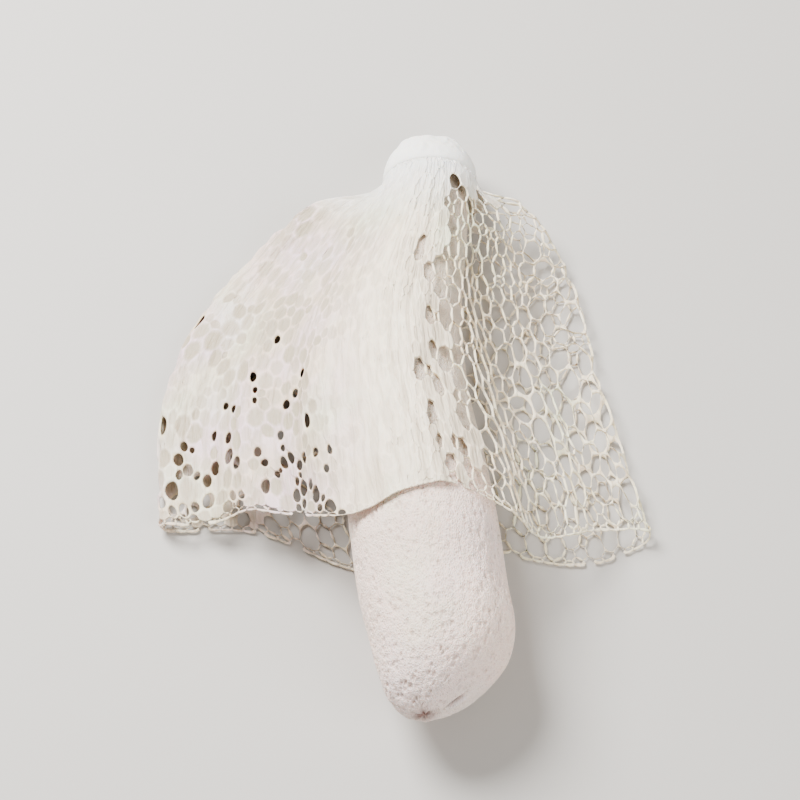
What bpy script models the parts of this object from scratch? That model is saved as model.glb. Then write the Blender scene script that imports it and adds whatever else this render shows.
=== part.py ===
"""A bamboo fungus as picked, lying on its side: a spongy stem, a small washed cap and a lace veil.

Metres, +Z up. The stem lies along Y, its base towards -Y and its cap towards +Y. The origin is the
middle of the underside of the bounding box, on the surface that the fungus lies on.
"""

import math
import random

import bmesh
import bpy
import numpy as np
from mathutils import Matrix, Vector, geometry, noise

MM = 0.001

# Stem, measured from the tip of its base
STEM_LENGTH = 157 * MM
STEM_RADIUS = 18 * MM
NECK_RADIUS = 9.3 * MM
BASE_ROUNDING = 27 * MM
BASE_SQUARENESS = 1.05
TAPER_START = 40 * MM
TAPER_END = 152 * MM
TAPER_POWER = 2.4
BEND = 8.2 * MM
BEND_POWER = 1.5
SWAY = 2 * MM
SWAY_STATION = 18 * MM
SWAY_REACH = 14 * MM
PRESS = 0.5 * MM
VEIL_LIFT = 2.1 * MM
VEIL_LIFT_SPAN = (30 * MM, 45 * MM)
CAP_LIFT = 1.8 * MM
CAP_LIFT_SPAN = (112 * MM, 152 * MM)
SCAR_DEPTH = 1.6 * MM
SCAR_RADIUS = 2.6 * MM
SCAR_PUCKERS = 7
SCAR_PUCKER_HEIGHT = 0.35 * MM

# Sponge relief of the stem and raised net of the cap
STEM_SIDES = 36
STEM_ROW = 2.8 * MM
STEM_PIT_DEPTH = 0.7 * MM
STEM_LUMPS = 0.8 * MM
LUMP_LENGTH = 20 * MM
LUMPS_AROUND = 1.7
PITS_AROUND = 5
CAP_SIDES = 36
CAP_ROW = 1.6 * MM
CAP_PIT_DEPTH = 0.7 * MM

# Cap: a low thimble over the stem's tip
CAP_HEIGHT = 14 * MM
CAP_TOP_RADIUS = 7.4 * MM
CAP_MARGIN_RADIUS = 12.6 * MM
CAP_WALL = 1.4 * MM
CAP_OVERLAP = 3 * MM
CAP_WAIST = 0.7
CAP_ROUNDING = 0.3 * MM
CAP_SHOULDER = 1.6 * MM
CAP_NET_START = CAP_OVERLAP + 1.2 * MM
PORE_RADIUS = 2.4 * MM
PORE_DEPTH = 3 * MM
PORE_RIM = 1 * MM
GAP = 0.3 * MM

# Veil: a lace skirt that starts under the cap's margin and is draped over the stem
STRAND = 1.3 * MM
VEIL_TOP = 156 * MM
VEIL_RUN = 108 * MM
VEIL_RUN_LEFT = 95 * MM
VEIL_RUN_RIGHT = 102 * MM
VEIL_LENGTH = 111 * MM
HALF_WIDTH_LEFT = 64 * MM
HALF_WIDTH_RIGHT = 57 * MM
FLARE_START = 0.029
FLARE_POWER_LEFT = 0.75
FLARE_POWER_RIGHT = 0.95
HEM_FLARE = 0.1
EDGE_POWER = 1.5
EDGE_RADIUS = 2.2 * MM
TENT_ANGLE = math.radians(48)
TENT_TAIL = 0.36
TENT_SPAN = (0.0, 0.2)
EDGE_DROP_SPAN = (0.04, 0.45)
FOLDS = 11
FOLD_PHASE = 1.3
FOLD_HEIGHT = 3.4 * MM
FOLD_FLOOR = 3.9 * MM
HEM_WAVES = 5
HEM_WAVE_HEIGHT = 3 * MM
CELL_AT_NECK = 3.6 * MM
CELL_WIDTH = 8.8 * MM
CELL_AT_HEM = 6.8 * MM
CELL_STRETCH_AT_NECK = 1.8
CELL_STRETCH = 1.15
SKIRT_SPAN = (0.0, 0.45)
HEM_SPAN = (0.8, 1.0)
CELL_JITTER = 0.2
SECTION_POINTS = 240
STATIONS = 60
SEED = 3

STEM_COLOUR = (0.90, 0.87, 0.82, 1.0)
CAP_COLOUR = (0.93, 0.92, 0.90, 1.0)
VEIL_COLOUR = (0.93, 0.91, 0.86, 1.0)


def smoothstep(span, x):
    """0 before the span, 1 after it and a smooth rise between."""
    share = np.clip((x - span[0]) / (span[1] - span[0]), 0.0, 1.0)
    return share * share * (3 - 2 * share)


def stem_radius(station):
    """Radius of the stem at a distance from its base tip, without the rounding of its base."""
    share = np.clip((station - TAPER_START) / (TAPER_END - TAPER_START), 0.0, 1.0)
    return STEM_RADIUS - (STEM_RADIUS - NECK_RADIUS) * share**TAPER_POWER


def stem_axis(station):
    """Middle of the stem's section: it bends sideways, and lies on the surface, the veil and the cap.

    The bend is to the left, and the base sways a little to the right.
    """
    x = -BEND * np.sin(np.pi * np.clip(station / STEM_LENGTH, 0, 1) ** BEND_POWER) ** 2
    x = x + SWAY * np.exp(-(((station - SWAY_STATION) / SWAY_REACH) ** 2))
    lift = VEIL_LIFT * smoothstep(VEIL_LIFT_SPAN, station) + CAP_LIFT * smoothstep(CAP_LIFT_SPAN, station)
    return x, station, stem_radius(station) - PRESS + lift


def resample(points, step):
    """Points spaced evenly by about one step along a line through the given points."""
    points = np.asarray(points)
    reach = np.concatenate([[0], np.cumsum(np.linalg.norm(np.diff(points, axis=0), axis=1))])
    places = np.linspace(0, reach[-1], max(2, round(reach[-1] / step) + 1))
    return np.column_stack([np.interp(places, reach, column) for column in points.T])


def lattice_tube(name, rows, sides, place):
    """A closed tube of staggered rings, so that its triangles are even. place(row, angle, pit) gives a point.

    Every third point of the lattice is the middle of a hexagon, and is passed as a pit.
    """
    mesh = bmesh.new()
    bmesh.ops.create_grid(mesh, x_segments=sides, y_segments=rows - 1, size=0.5)
    for vert in mesh.verts:
        column = round((vert.co.x + 0.5) * sides)
        row = round((vert.co.y + 0.5) * (rows - 1))
        angle = 2 * math.pi * (column + 0.5 * (row % 2)) / sides
        pit = (column - row // 2 - row) % 3 == 0
        vert.co = place(row, angle, pit)
    bmesh.ops.remove_doubles(mesh, verts=mesh.verts, dist=0.001 * MM)
    bmesh.ops.triangulate(mesh, faces=mesh.faces, quad_method="SHORT_EDGE")
    bmesh.ops.holes_fill(mesh, edges=[edge for edge in mesh.edges if edge.is_boundary])
    bmesh.ops.recalc_face_normals(mesh, faces=mesh.faces)
    return new_object(name, mesh)


def new_object(name, mesh):
    """Turns a bmesh into an object of the fungus's collection."""
    data = bpy.data.meshes.new(name)
    mesh.to_mesh(data)
    mesh.free()
    made = bpy.data.objects.new(name, data)
    bpy.data.collections["bamboo_fungus"].objects.link(made)
    return made


def paint(made, colour, roughness):
    """Gives an object its own plain material."""
    material = bpy.data.materials.new(made.name)
    material.use_nodes = True
    shader = material.node_tree.nodes["Principled BSDF"]
    shader.inputs["Base Color"].default_value = colour
    shader.inputs["Roughness"].default_value = roughness
    shader.inputs["Metallic"].default_value = 0.0
    made.data.materials.append(material)
    made.data.shade_smooth()


def stem_outline():
    """Half outline of the stem as (station, radius), from the middle of the scar to the flat top."""
    turn = np.linspace(0.02, math.pi / 2, 60)
    radius = STEM_RADIUS * np.sin(turn) ** BASE_SQUARENESS
    station = BASE_ROUNDING * (1 - np.cos(turn) ** BASE_SQUARENESS)
    station += SCAR_DEPTH * np.exp(-((radius / SCAR_RADIUS) ** 2))
    shaft = np.linspace(BASE_ROUNDING, STEM_LENGTH, 80)[1:]
    outline = np.column_stack([np.append(station, shaft), np.append(radius, stem_radius(shaft))])
    top = np.array([[STEM_LENGTH, NECK_RADIUS / 2]])
    return resample(np.vstack([outline, top]), STEM_ROW)


def make_stem():
    """The stem: fat towards its base, with a puckered scar there and sponge pits all over.

    Where it lies on the surface it is pressed flat, with no pits.
    """
    outline = stem_outline()

    def place(row, angle, pit):
        station, radius = outline[row]
        x, y, z = stem_axis(station)
        around = Vector((math.cos(angle), 0, math.sin(angle)))
        pucker = SCAR_PUCKER_HEIGHT * math.cos(SCAR_PUCKERS * angle)
        pucker *= math.exp(-((station / SCAR_RADIUS) ** 2))
        middle = Vector((x, y + pucker, z))
        if middle.z + radius * around.z <= 0.0:
            return Vector((x + radius * around.x, middle.y, 0.0))
        depth = 0.0
        if TAPER_END - CAP_OVERLAP > station and radius > SCAR_RADIUS:
            lump = noise.noise(Vector((station / LUMP_LENGTH, *(around.xz * LUMPS_AROUND))))
            depth = STEM_LUMPS * max(lump, 0.0) * (1 + min(around.z, 0.0))
            uneven = noise.noise(Vector((row + 0.5, *(around.xz * PITS_AROUND))))
            depth += STEM_PIT_DEPTH * pit * (1 + uneven)
        return middle + around * (radius - depth)

    return lattice_tube("stem", len(outline), STEM_SIDES, place)


def cap_outline():
    """Half outline of the cap as (height above its margin, radius), from the pore to the socket's ceiling."""
    ceiling = CAP_OVERLAP + GAP
    inner = CAP_MARGIN_RADIUS - CAP_WALL
    waist = CAP_TOP_RADIUS + CAP_WAIST * (CAP_MARGIN_RADIUS - CAP_TOP_RADIUS)
    pore = [
        (CAP_HEIGHT - PORE_DEPTH, PORE_RADIUS * 0.4),
        (CAP_HEIGHT - PORE_DEPTH * 0.8, PORE_RADIUS * 0.9),
        (CAP_HEIGHT - PORE_RIM / 2, PORE_RADIUS),
        (CAP_HEIGHT, PORE_RADIUS + PORE_RIM),
        (CAP_HEIGHT - CAP_ROUNDING, CAP_TOP_RADIUS - CAP_SHOULDER),
    ]
    side = [
        (CAP_HEIGHT - CAP_SHOULDER, CAP_TOP_RADIUS),
        (CAP_HEIGHT / 2, waist),
        (CAP_SHOULDER, CAP_MARGIN_RADIUS),
        (CAP_ROUNDING, CAP_MARGIN_RADIUS - CAP_ROUNDING),
    ]
    socket = [
        (0.0, inner + CAP_ROUNDING),
        (CAP_ROUNDING * 2, inner),
        (ceiling - CAP_ROUNDING, inner),
        (ceiling, inner - CAP_ROUNDING),
        (ceiling, inner * 0.4),
    ]
    return resample(pore + side + socket, CAP_ROW)


def make_cap():
    """The washed cap: a thimble with a pore at its top and a raised net round its side."""
    outline = cap_outline()
    margin = STEM_LENGTH - CAP_OVERLAP
    start = Vector(stem_axis(margin))

    def place(row, angle, pit):
        height, radius = outline[row]
        netted = radius > CAP_TOP_RADIUS and height > CAP_NET_START
        depth = CAP_PIT_DEPTH if pit and netted else 0.0
        around = Vector((math.cos(angle), 0, math.sin(angle)))
        return start + around * (radius - depth) + Vector((0, height, 0))

    return lattice_tube("cap", len(outline), CAP_SIDES, place)


def tent_half(half_width, reach, height, edge_height):
    """Half of the tent's section, as (x, z) from the underside's middle, round the edge fold, to the top."""
    inner = half_width - EDGE_RADIUS
    across = np.linspace(0, inner, 30)
    bottom = np.column_stack([across, STRAND / 2 + edge_height * (across / inner) ** 2])
    turn = np.linspace(-math.pi / 2, math.pi / 2, 12)[1:]
    fold = np.column_stack(
        [inner + EDGE_RADIUS * np.cos(turn), bottom[-1, 1] + EDGE_RADIUS * (1 + np.sin(turn))]
    )
    leave = np.array([reach * math.sin(TENT_ANGLE), height + reach * math.cos(TENT_ANGLE)])
    meet = fold[-1]
    tail = TENT_TAIL * np.linalg.norm(leave - meet)
    lean = leave + tail * np.array([math.cos(TENT_ANGLE), -math.sin(TENT_ANGLE)])
    flat = meet - tail * np.array([1.0, 0.0])
    share = np.linspace(0, 1, 40)[1:, None]
    slope = (1 - share) ** 3 * meet + 3 * (1 - share) ** 2 * share * flat
    slope = slope + 3 * (1 - share) * share**2 * lean + share**3 * leave
    arc = np.linspace(math.pi / 2 - TENT_ANGLE, math.pi / 2, 20)[1:]
    crown = np.column_stack([reach * np.cos(arc), height + reach * np.sin(arc)])
    return np.vstack([bottom, fold, slope, crown])


def veil_section(share):
    """Points evenly round the veil, a share of the way from its neck to its hem.

    Over the stem the share is even steps along it. At the sides the veil follows a rounded shoulder, whose
    edges come down from the cap's height to the surface.
    """
    station = VEIL_TOP - VEIL_RUN * share
    _, _, z = stem_axis(station)
    reach = stem_radius(station) + GAP + STRAND / 2
    turn = math.pi / 2 * max(0.0, share - FLARE_START) / (1 - FLARE_START)
    widths = []
    for width, power in ((HALF_WIDTH_RIGHT, FLARE_POWER_RIGHT), (HALF_WIDTH_LEFT, FLARE_POWER_LEFT)):
        flare = (1 - HEM_FLARE) * math.sin(turn) ** power + HEM_FLARE * share**2
        widths.append(reach + (width - reach) * flare)
    edge_height = (z - EDGE_RADIUS - STRAND / 2) * (1 - smoothstep(EDGE_DROP_SPAN, share))
    right, left = (tent_half(width, reach, z, edge_height) for width in widths)
    outline = np.vstack([right, (left * [-1, 1])[::-1][1:]])
    lengths = np.concatenate([[0], np.cumsum(np.linalg.norm(np.diff(outline, axis=0), axis=1))])
    around = np.linspace(0, 1, SECTION_POINTS, endpoint=False)
    tent = np.column_stack([np.interp(around * lengths[-1], lengths, column) for column in outline.T])
    angle = 2 * math.pi * around - math.pi / 2
    ring = np.column_stack([reach * np.cos(angle), z + reach * np.sin(angle)])
    blend = smoothstep(TENT_SPAN, share)
    section = (1 - blend) * ring + blend * tent

    # Folds run down the slopes and stand outwards, and die out on the stem and underneath
    sideways = np.abs(section[:, 0]) / np.where(section[:, 0] > 0, *widths)
    loose = np.clip(sideways * (1 - sideways) * 4, 0, 1) * (section[:, 1] > FOLD_FLOOR)
    fold = FOLD_HEIGHT * share * loose * (1 - np.cos(2 * math.pi * FOLDS * around + FOLD_PHASE)) / 2
    ahead = np.roll(section, -1, axis=0) - np.roll(section, 1, axis=0)
    outward = np.column_stack([ahead[:, 1], -ahead[:, 0]])
    outward /= np.linalg.norm(outward, axis=1)[:, None]
    section = section + outward * fold[:, None]

    # Along the stem: shorter at the sides, and the hem waves
    neck_run = VEIL_RUN * FLARE_START
    edge_run = np.where(section[:, 0] > 0, VEIL_RUN_RIGHT, VEIL_RUN_LEFT) - neck_run
    edge_run = min(VEIL_RUN * share, neck_run) + edge_run * (1 - math.cos(turn))
    edge = np.clip(sideways, 0, 1) ** EDGE_POWER
    wave = HEM_WAVE_HEIGHT * share**3 * np.sin(2 * math.pi * HEM_WAVES * (around - 0.5))
    along = VEIL_TOP - VEIL_RUN * share * (1 - edge) - edge_run * edge - wave

    # Keep clear of the stem and off the surface underneath
    x, _, z = stem_axis(along)
    away = section - np.column_stack([0 * z, z])
    distance = np.linalg.norm(away, axis=1)
    away *= (np.maximum(distance, stem_radius(along) + GAP + STRAND / 2) / distance)[:, None]
    return np.column_stack([away[:, 0] + x, along, np.maximum(away[:, 1] + z, STRAND / 2)])


def veil_surface():
    """The draped surface as a table of sections, and a function that reads a point from it."""
    table = np.array([veil_section(share) for share in np.linspace(0, 1, STATIONS)])

    def point(around, share):
        row = share * (STATIONS - 1)
        column = (around % 1.0) * SECTION_POINTS
        above = min(int(row), STATIONS - 2)
        left = int(column) % SECTION_POINTS
        right = (left + 1) % SECTION_POINTS
        near = table[above, left] + (table[above, right] - table[above, left]) * (column - left)
        far = table[above + 1, left] + (table[above + 1, right] - table[above + 1, left]) * (column - left)
        return Vector(near + (far - near) * (row - above))

    return table, point


def cell_width(share):
    """Width of the net's cells: small at the neck, wide in the skirt, smaller again at the hem."""
    skirt = CELL_AT_NECK + (CELL_WIDTH - CELL_AT_NECK) * smoothstep(SKIRT_SPAN, share)
    return skirt + (CELL_AT_HEM - CELL_WIDTH) * smoothstep(HEM_SPAN, share)


def cell_stretch(share):
    """Length over width of the cells: long at the gathered neck."""
    return CELL_STRETCH_AT_NECK + (CELL_STRETCH - CELL_STRETCH_AT_NECK) * smoothstep(SKIRT_SPAN, share)


def net_rows():
    """Shares of the way to the hem at which the rows of cells lie, packed as hexagons are."""
    packing = math.sqrt(3) / 2
    shares = [0.0]
    while shares[-1] < 1.0:
        here = shares[-1]
        shares.append(here + packing * float(cell_width(here) * cell_stretch(here)) / VEIL_LENGTH)
    return [share / shares[-1] for share in shares]


def net_mesh(table, point):
    """An open sheet of many-sided cells on the veil: the dual of a triangulation of scattered seeds.

    The seeds are laid out on a flat ring on which the veil's cells keep their shape.
    """
    draw = random.Random(SEED)
    shares = np.linspace(0, 1, STATIONS)
    loops = np.diff(np.concatenate([table, table[:, :1]], axis=1), axis=1)
    girth = np.linalg.norm(loops, axis=2).sum(axis=1)
    growth = 2 * math.pi * VEIL_LENGTH / (girth * cell_stretch(shares))
    steps = (growth[1:] + growth[:-1]) / 2 * np.diff(shares)
    logarithm = np.concatenate([[0], np.cumsum(steps)])

    rows = net_rows()
    seeds, rims, edges = [], [], []
    for number, share in enumerate(rows):
        count = round(np.interp(share, shares, girth) / cell_width(share))
        rim = number in (0, len(rows) - 1)
        turn = draw.random()
        for index in range(count):
            shift = 0.0 if rim else draw.uniform(-CELL_JITTER, CELL_JITTER)
            slide = 0.0 if rim else draw.uniform(-CELL_JITTER, CELL_JITTER) * (rows[1] - rows[0])
            angle = 2 * math.pi * (index + turn + shift) / count
            radius = math.exp(np.interp(share + slide, shares, logarithm))
            if rim:
                half = math.pi / count
                edges.append((len(seeds), len(seeds) + 1 - count * (index == count - 1)))
                rims.append(Vector((radius * math.cos(angle + half), radius * math.sin(angle + half))))
            seeds.append(Vector((radius * math.cos(angle), radius * math.sin(angle))))
    neck = set(range(round(girth[0] / cell_width(0.0))))

    # A cell's corners are the middles of the triangles round its seed, and points on the rims
    corners = {seed: [] for seed in range(len(seeds))}
    mesh = bmesh.new()
    for triangle in geometry.delaunay_2d_cdt(seeds, [], [], 0, 1e-7, True)[2]:
        if not neck.issuperset(triangle):
            middle = sum((seeds[seed] for seed in triangle), Vector((0, 0))) / 3
            vert = mesh.verts.new((*middle, 0))
            for seed in triangle:
                corners[seed].append(vert)
    for edge, middle in zip(edges, rims):
        vert = mesh.verts.new((*middle, 0))
        for seed in edge:
            corners[seed].append(vert)
    for around in corners.values():
        centre = sum((vert.co for vert in around), Vector()) / len(around)
        around.sort(key=lambda vert: math.atan2(*(vert.co - centre).yx))
        mesh.faces.new(around)

    for vert in mesh.verts:
        around = math.atan2(vert.co.y, vert.co.x) / (2 * math.pi)
        share = float(np.interp(math.log(vert.co.xy.length), logarithm, shares))
        vert.co = point(around, share)
    bmesh.ops.remove_doubles(mesh, verts=mesh.verts, dist=STRAND)
    bmesh.ops.recalc_face_normals(mesh, faces=mesh.faces)
    return mesh


def make_veil():
    """The veil: a net of round strands with a cord along its hem and another round its neck."""
    table, point = veil_surface()
    veil = new_object("veil", net_mesh(table, point))
    lace = veil.modifiers.new("lace", "WIREFRAME")
    lace.thickness = STRAND
    lace.use_even_offset = True
    lace.use_boundary = True
    lace.use_replace = True
    return veil


def centre_on_origin(pieces):
    """Moves the pieces together, so that the middle of their box's underside is at the origin."""
    bpy.context.view_layer.update()
    graph = bpy.context.evaluated_depsgraph_get()
    corners = []
    for piece in pieces:
        evaluated = piece.evaluated_get(graph)
        corners += [evaluated.matrix_world @ Vector(corner) for corner in evaluated.bound_box]
    low = Vector(map(min, *corners))
    high = Vector(map(max, *corners))
    shift = Matrix.Translation((-(low.x + high.x) / 2, -(low.y + high.y) / 2, -low.z))
    for piece in pieces:
        piece.data.transform(shift)


def main():
    for made in list(bpy.data.objects):
        bpy.data.objects.remove(made)
    collection = bpy.data.collections.new("bamboo_fungus")
    bpy.context.scene.collection.children.link(collection)
    stem = make_stem()
    cap = make_cap()
    veil = make_veil()
    paint(stem, STEM_COLOUR, 0.85)
    paint(cap, CAP_COLOUR, 0.8)
    paint(veil, VEIL_COLOUR, 0.7)
    centre_on_origin([stem, cap, veil])


main()
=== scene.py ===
"""The looks of a picked bamboo fungus that lies on its side: sponge stem, washed cap and lace veil.

Metres, +Z up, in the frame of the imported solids. The stem's base is towards -Y and the cap towards +Y.
"""

import math
import random

import bpy
import numpy as np
from bpy.props import FloatProperty, FloatVectorProperty, IntProperty, PointerProperty
from bpy.types import Operator, Panel, PropertyGroup
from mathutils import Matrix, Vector, geometry, noise


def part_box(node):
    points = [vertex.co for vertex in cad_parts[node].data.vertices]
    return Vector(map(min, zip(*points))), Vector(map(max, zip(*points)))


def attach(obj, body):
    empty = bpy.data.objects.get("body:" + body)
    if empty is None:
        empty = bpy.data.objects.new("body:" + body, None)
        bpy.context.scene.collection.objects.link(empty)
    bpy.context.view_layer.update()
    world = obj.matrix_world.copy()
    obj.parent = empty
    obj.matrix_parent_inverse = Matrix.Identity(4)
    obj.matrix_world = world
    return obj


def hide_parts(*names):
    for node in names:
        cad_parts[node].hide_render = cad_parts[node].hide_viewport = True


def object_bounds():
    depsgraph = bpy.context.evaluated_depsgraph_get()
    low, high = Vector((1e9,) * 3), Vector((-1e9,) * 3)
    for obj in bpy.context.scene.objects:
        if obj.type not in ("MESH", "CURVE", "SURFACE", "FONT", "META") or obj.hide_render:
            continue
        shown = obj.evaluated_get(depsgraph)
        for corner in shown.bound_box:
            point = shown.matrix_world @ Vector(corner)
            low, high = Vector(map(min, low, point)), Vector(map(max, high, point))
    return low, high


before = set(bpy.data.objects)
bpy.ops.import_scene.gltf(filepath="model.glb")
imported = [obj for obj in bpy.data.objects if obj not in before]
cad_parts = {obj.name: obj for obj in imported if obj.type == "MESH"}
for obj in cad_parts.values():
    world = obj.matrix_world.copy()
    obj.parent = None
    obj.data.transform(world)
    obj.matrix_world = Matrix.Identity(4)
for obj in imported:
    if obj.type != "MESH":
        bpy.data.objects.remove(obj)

bl_info = {
    "name": "Bamboo fungus",
    "version": (1, 0, 0),
    "blender": (4, 5, 0),
    "location": "3D View > Sidebar > Fungus",
    "description": "Builds a picked bamboo fungus with a sponge stem, a cap and a lace veil",
    "category": "Object",
}

MM = 0.001
BODY = "root"
CAD_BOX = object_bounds()

# The stem's curves, as in the solids, measured from the tip of its base
STEM_LENGTH = 157 * MM
STEM_RADIUS = 18 * MM
NECK_RADIUS = 9.3 * MM
BASE_ROUNDING = 27 * MM
BASE_SQUARENESS = 1.05
TAPER_START = 40 * MM
TAPER_END = 152 * MM
TAPER_POWER = 2.4
BEND = 8.2 * MM
BEND_POWER = 1.5
SWAY = 2 * MM
SWAY_STATION = 18 * MM
SWAY_REACH = 14 * MM
PRESS = 0.5 * MM
VEIL_LIFT = 2.1 * MM
VEIL_LIFT_SPAN = (30 * MM, 45 * MM)
CAP_LIFT = 1.8 * MM
CAP_LIFT_SPAN = (112 * MM, 152 * MM)
SCAR_DEPTH = 1.6 * MM
SCAR_RADIUS = 2.6 * MM
STEM_LUMPS = 0.8 * MM
LUMP_LENGTH = 20 * MM
LUMPS_AROUND = 1.7

# The cap's curves, as in the solids, measured from its margin
CAP_HEIGHT = 14 * MM
CAP_TOP_RADIUS = 7.4 * MM
CAP_MARGIN_RADIUS = 12.6 * MM
CAP_WALL = 1.4 * MM
CAP_OVERLAP = 3 * MM
CAP_WAIST = 0.7
CAP_SHOULDER = 1.6 * MM
PORE_RADIUS = 2.4 * MM
PORE_DEPTH = 3 * MM
PORE_RIM = 1 * MM

# The veil's draped surface, as in the solids
VEIL_TOP = 156 * MM
VEIL_RUN = 108 * MM
VEIL_RUN_LEFT = 95 * MM
VEIL_RUN_RIGHT = 102 * MM
VEIL_LENGTH = 111 * MM
HALF_WIDTH_LEFT = 64 * MM
HALF_WIDTH_RIGHT = 57 * MM
FLARE_START = 0.029
FLARE_POWER_LEFT = 0.75
FLARE_POWER_RIGHT = 0.95
HEM_FLARE = 0.1
EDGE_POWER = 1.5
EDGE_RADIUS = 2.2 * MM
TENT_ANGLE = math.radians(48)
TENT_TAIL = 0.36
TENT_SPAN = (0.0, 0.2)
EDGE_DROP_SPAN = (0.04, 0.45)
FOLDS = 11
FOLD_PHASE = 1.3
FOLD_HEIGHT = 3.4 * MM
FOLD_FLOOR = 3.9 * MM
HEM_WAVES = 5
HEM_WAVE_HEIGHT = 3 * MM
SECTION_POINTS = 480
STATIONS = 120

# How finely the stem and the cap are meshed
STEM_COLUMNS = 290
STEM_FINE_ROW = 0.38 * MM
STEM_COARSE_ROW = 0.8 * MM
STEM_FINE_END = 66 * MM
CAP_COLUMNS = 240
CAP_ROW = 0.3 * MM


def smoothstep(span, x):
    """0 before the span, 1 after it and a smooth rise between."""
    share = np.clip((x - span[0]) / (span[1] - span[0]), 0.0, 1.0)
    return share * share * (3 - 2 * share)


def within(spans, x):
    """0 before the first span, 1 between the two and 0 after the second, with smooth steps."""
    return smoothstep(spans[0], x) * (1 - smoothstep(spans[1], x))


def between(ends, share):
    """The value a share of the way from one end to the other."""
    return ends[0] + (ends[1] - ends[0]) * share


def running_sum(steps):
    """Sum of the steps before each place, from 0."""
    return np.concatenate([[0], np.cumsum(steps)])


def lengths_along(points):
    """Distance along a line to each of its points."""
    return running_sum(np.linalg.norm(np.diff(points, axis=0), axis=1))


def points_along(points, lengths, places):
    """Points at the given distances along a line."""
    return np.column_stack([np.interp(places, lengths, column) for column in points.T])


def stem_radius(station):
    """Radius of the stem at a distance from its base tip, without the rounding of its base."""
    share = np.clip((station - TAPER_START) / (TAPER_END - TAPER_START), 0.0, 1.0)
    return STEM_RADIUS - (STEM_RADIUS - NECK_RADIUS) * share**TAPER_POWER


def stem_axis(station):
    """Middle of the stem's section: it bends sideways, and lies on the surface, the veil and the cap.

    The bend is to the left, and the base sways a little to the right.
    """
    x = -BEND * np.sin(np.pi * np.clip(station / STEM_LENGTH, 0, 1) ** BEND_POWER) ** 2
    x = x + SWAY * np.exp(-(((station - SWAY_STATION) / SWAY_REACH) ** 2))
    lift = VEIL_LIFT * smoothstep(VEIL_LIFT_SPAN, station) + CAP_LIFT * smoothstep(CAP_LIFT_SPAN, station)
    return x, station, stem_radius(station) - PRESS + lift


def place_in_frame():
    """The move from distances along the stem to the frame, read from where the solids are."""
    cap_low, cap_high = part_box("cap")
    stem_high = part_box("stem")[1]
    cap_x = float(stem_axis(STEM_LENGTH - CAP_OVERLAP)[0])
    return np.array([(cap_low.x + cap_high.x) / 2 - cap_x, stem_high.y - STEM_LENGTH, 0.0])


SHIFT = place_in_frame()


def tint(name, description, *shade):
    """A colour among a piece's settings."""
    return FloatVectorProperty(
        name=name, description=description, subtype="COLOR", size=4, min=0.0, max=1.0, default=(*shade, 1.0),
    )


def length(name, description, least, most, default):
    """A length in metres among a piece's settings."""
    return FloatProperty(
        name=name, description=description, unit="LENGTH", min=least, max=most, default=default,
    )


class StemSettings(PropertyGroup):
    """Sizes and colours of the stem."""

    flesh: tint("Flesh", "Colour of the sponge's ridges", 0.98, 0.75, 0.64)
    # Painted shade: this colour darkens the sponge's pits by their depth
    pit_shade: tint("Pits", "Colour in the sponge's pits", 0.62, 0.48, 0.40)
    blush: tint("Blush", "Pink tint near the base", 0.86, 0.71, 0.68)
    scar: tint("Scar", "Brown purple of the scar and the crease", 0.20, 0.10, 0.085)
    pit_width: length("Pit width", "Distance from pit to pit round the stem", 0.5 * MM, 4 * MM, 1.25 * MM)
    pit_stretch: FloatProperty(
        name="Pit stretch", description="Length of a pit over its width", min=1.0, max=4.0, default=1.7,
    )
    pit_depth: length("Pit depth", "Depth of the pits", 0.0, 1 * MM, 0.55 * MM)


class CapSettings(PropertyGroup):
    """Sizes and colours of the cap."""

    skin: tint("Skin", "Colour of the washed cap", 0.98, 0.94, 0.88)
    # Painted shade: this colour darkens the cap's hollows and its pore
    hollow_shade: tint("Hollows", "Colour in the cap's hollows and its pore", 0.66, 0.62, 0.54)
    net_width: length("Net width", "Width of the hollows between the ridges", 1 * MM, 8 * MM, 3.2 * MM)
    net_height: length("Net height", "Height of the ridges", 0.0, 1.5 * MM, 0.3 * MM)


class VeilSettings(PropertyGroup):
    """Sizes and colours of the veil."""

    lace: tint("Lace", "Colour of the strands", 0.97, 0.82, 0.63)
    edges: tint("Edges", "Cream of the strands where they thin out at a hole", 0.90, 0.74, 0.44)
    left: tint("Left slope", "Colour of the strands on the left slope", 0.76, 0.58, 0.45)
    # Painted shade: this colour darkens the streaks and the closed cells' skins by their depth
    dents: tint("Dents", "Colour of the thin skin in the closed cells and of the streaks", 0.46, 0.38, 0.27)
    strand: length("Strand", "Width of a strand before it is rounded off", 0.4 * MM, 3 * MM, 2.3 * MM)
    skirt_cell: length("Skirt cell", "Distance from hole to hole in the skirt", 2 * MM, 10 * MM, 3.15 * MM)
    neck_cell: length("Neck cell", "Distance from hole to hole at the neck", 1 * MM, 5 * MM, 1.9 * MM)
    hem_cell: length("Hem cell", "Distance from hole to hole at the hem", 1 * MM, 8 * MM, 2.6 * MM)
    seed: IntProperty(
        name="Seed", description="Start of the random draws for the net", min=0, default=4,
    )


class StageSettings(PropertyGroup):
    """The floor, the lights and the camera."""

    floor: tint("Floor", "Colour of the floor", 0.50, 0.475, 0.44)
    key: FloatProperty(
        name="Key light", description="Power of the large soft light overhead", unit="POWER",
        min=0.0, default=24.0,
    )
    fill: FloatProperty(
        name="Fill light", description="Power of the soft light at the side", unit="POWER",
        min=0.0, default=6.0,
    )
    sky: FloatProperty(
        name="Sky", description="Strength of the pale light from all round", min=0.0, default=0.42,
    )
    elevation: FloatProperty(
        name="Elevation", description="Height of the camera above the horizon", subtype="ANGLE",
        min=0.0, max=math.pi / 2, default=math.radians(59),
    )
    distance: length("Distance", "Distance from the camera to the fungus", 0.2, 5.0, 0.7)
    lens: FloatProperty(
        name="Lens", description="Focal length in millimetres", min=20.0, max=400.0, default=128.0,
    )


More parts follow.
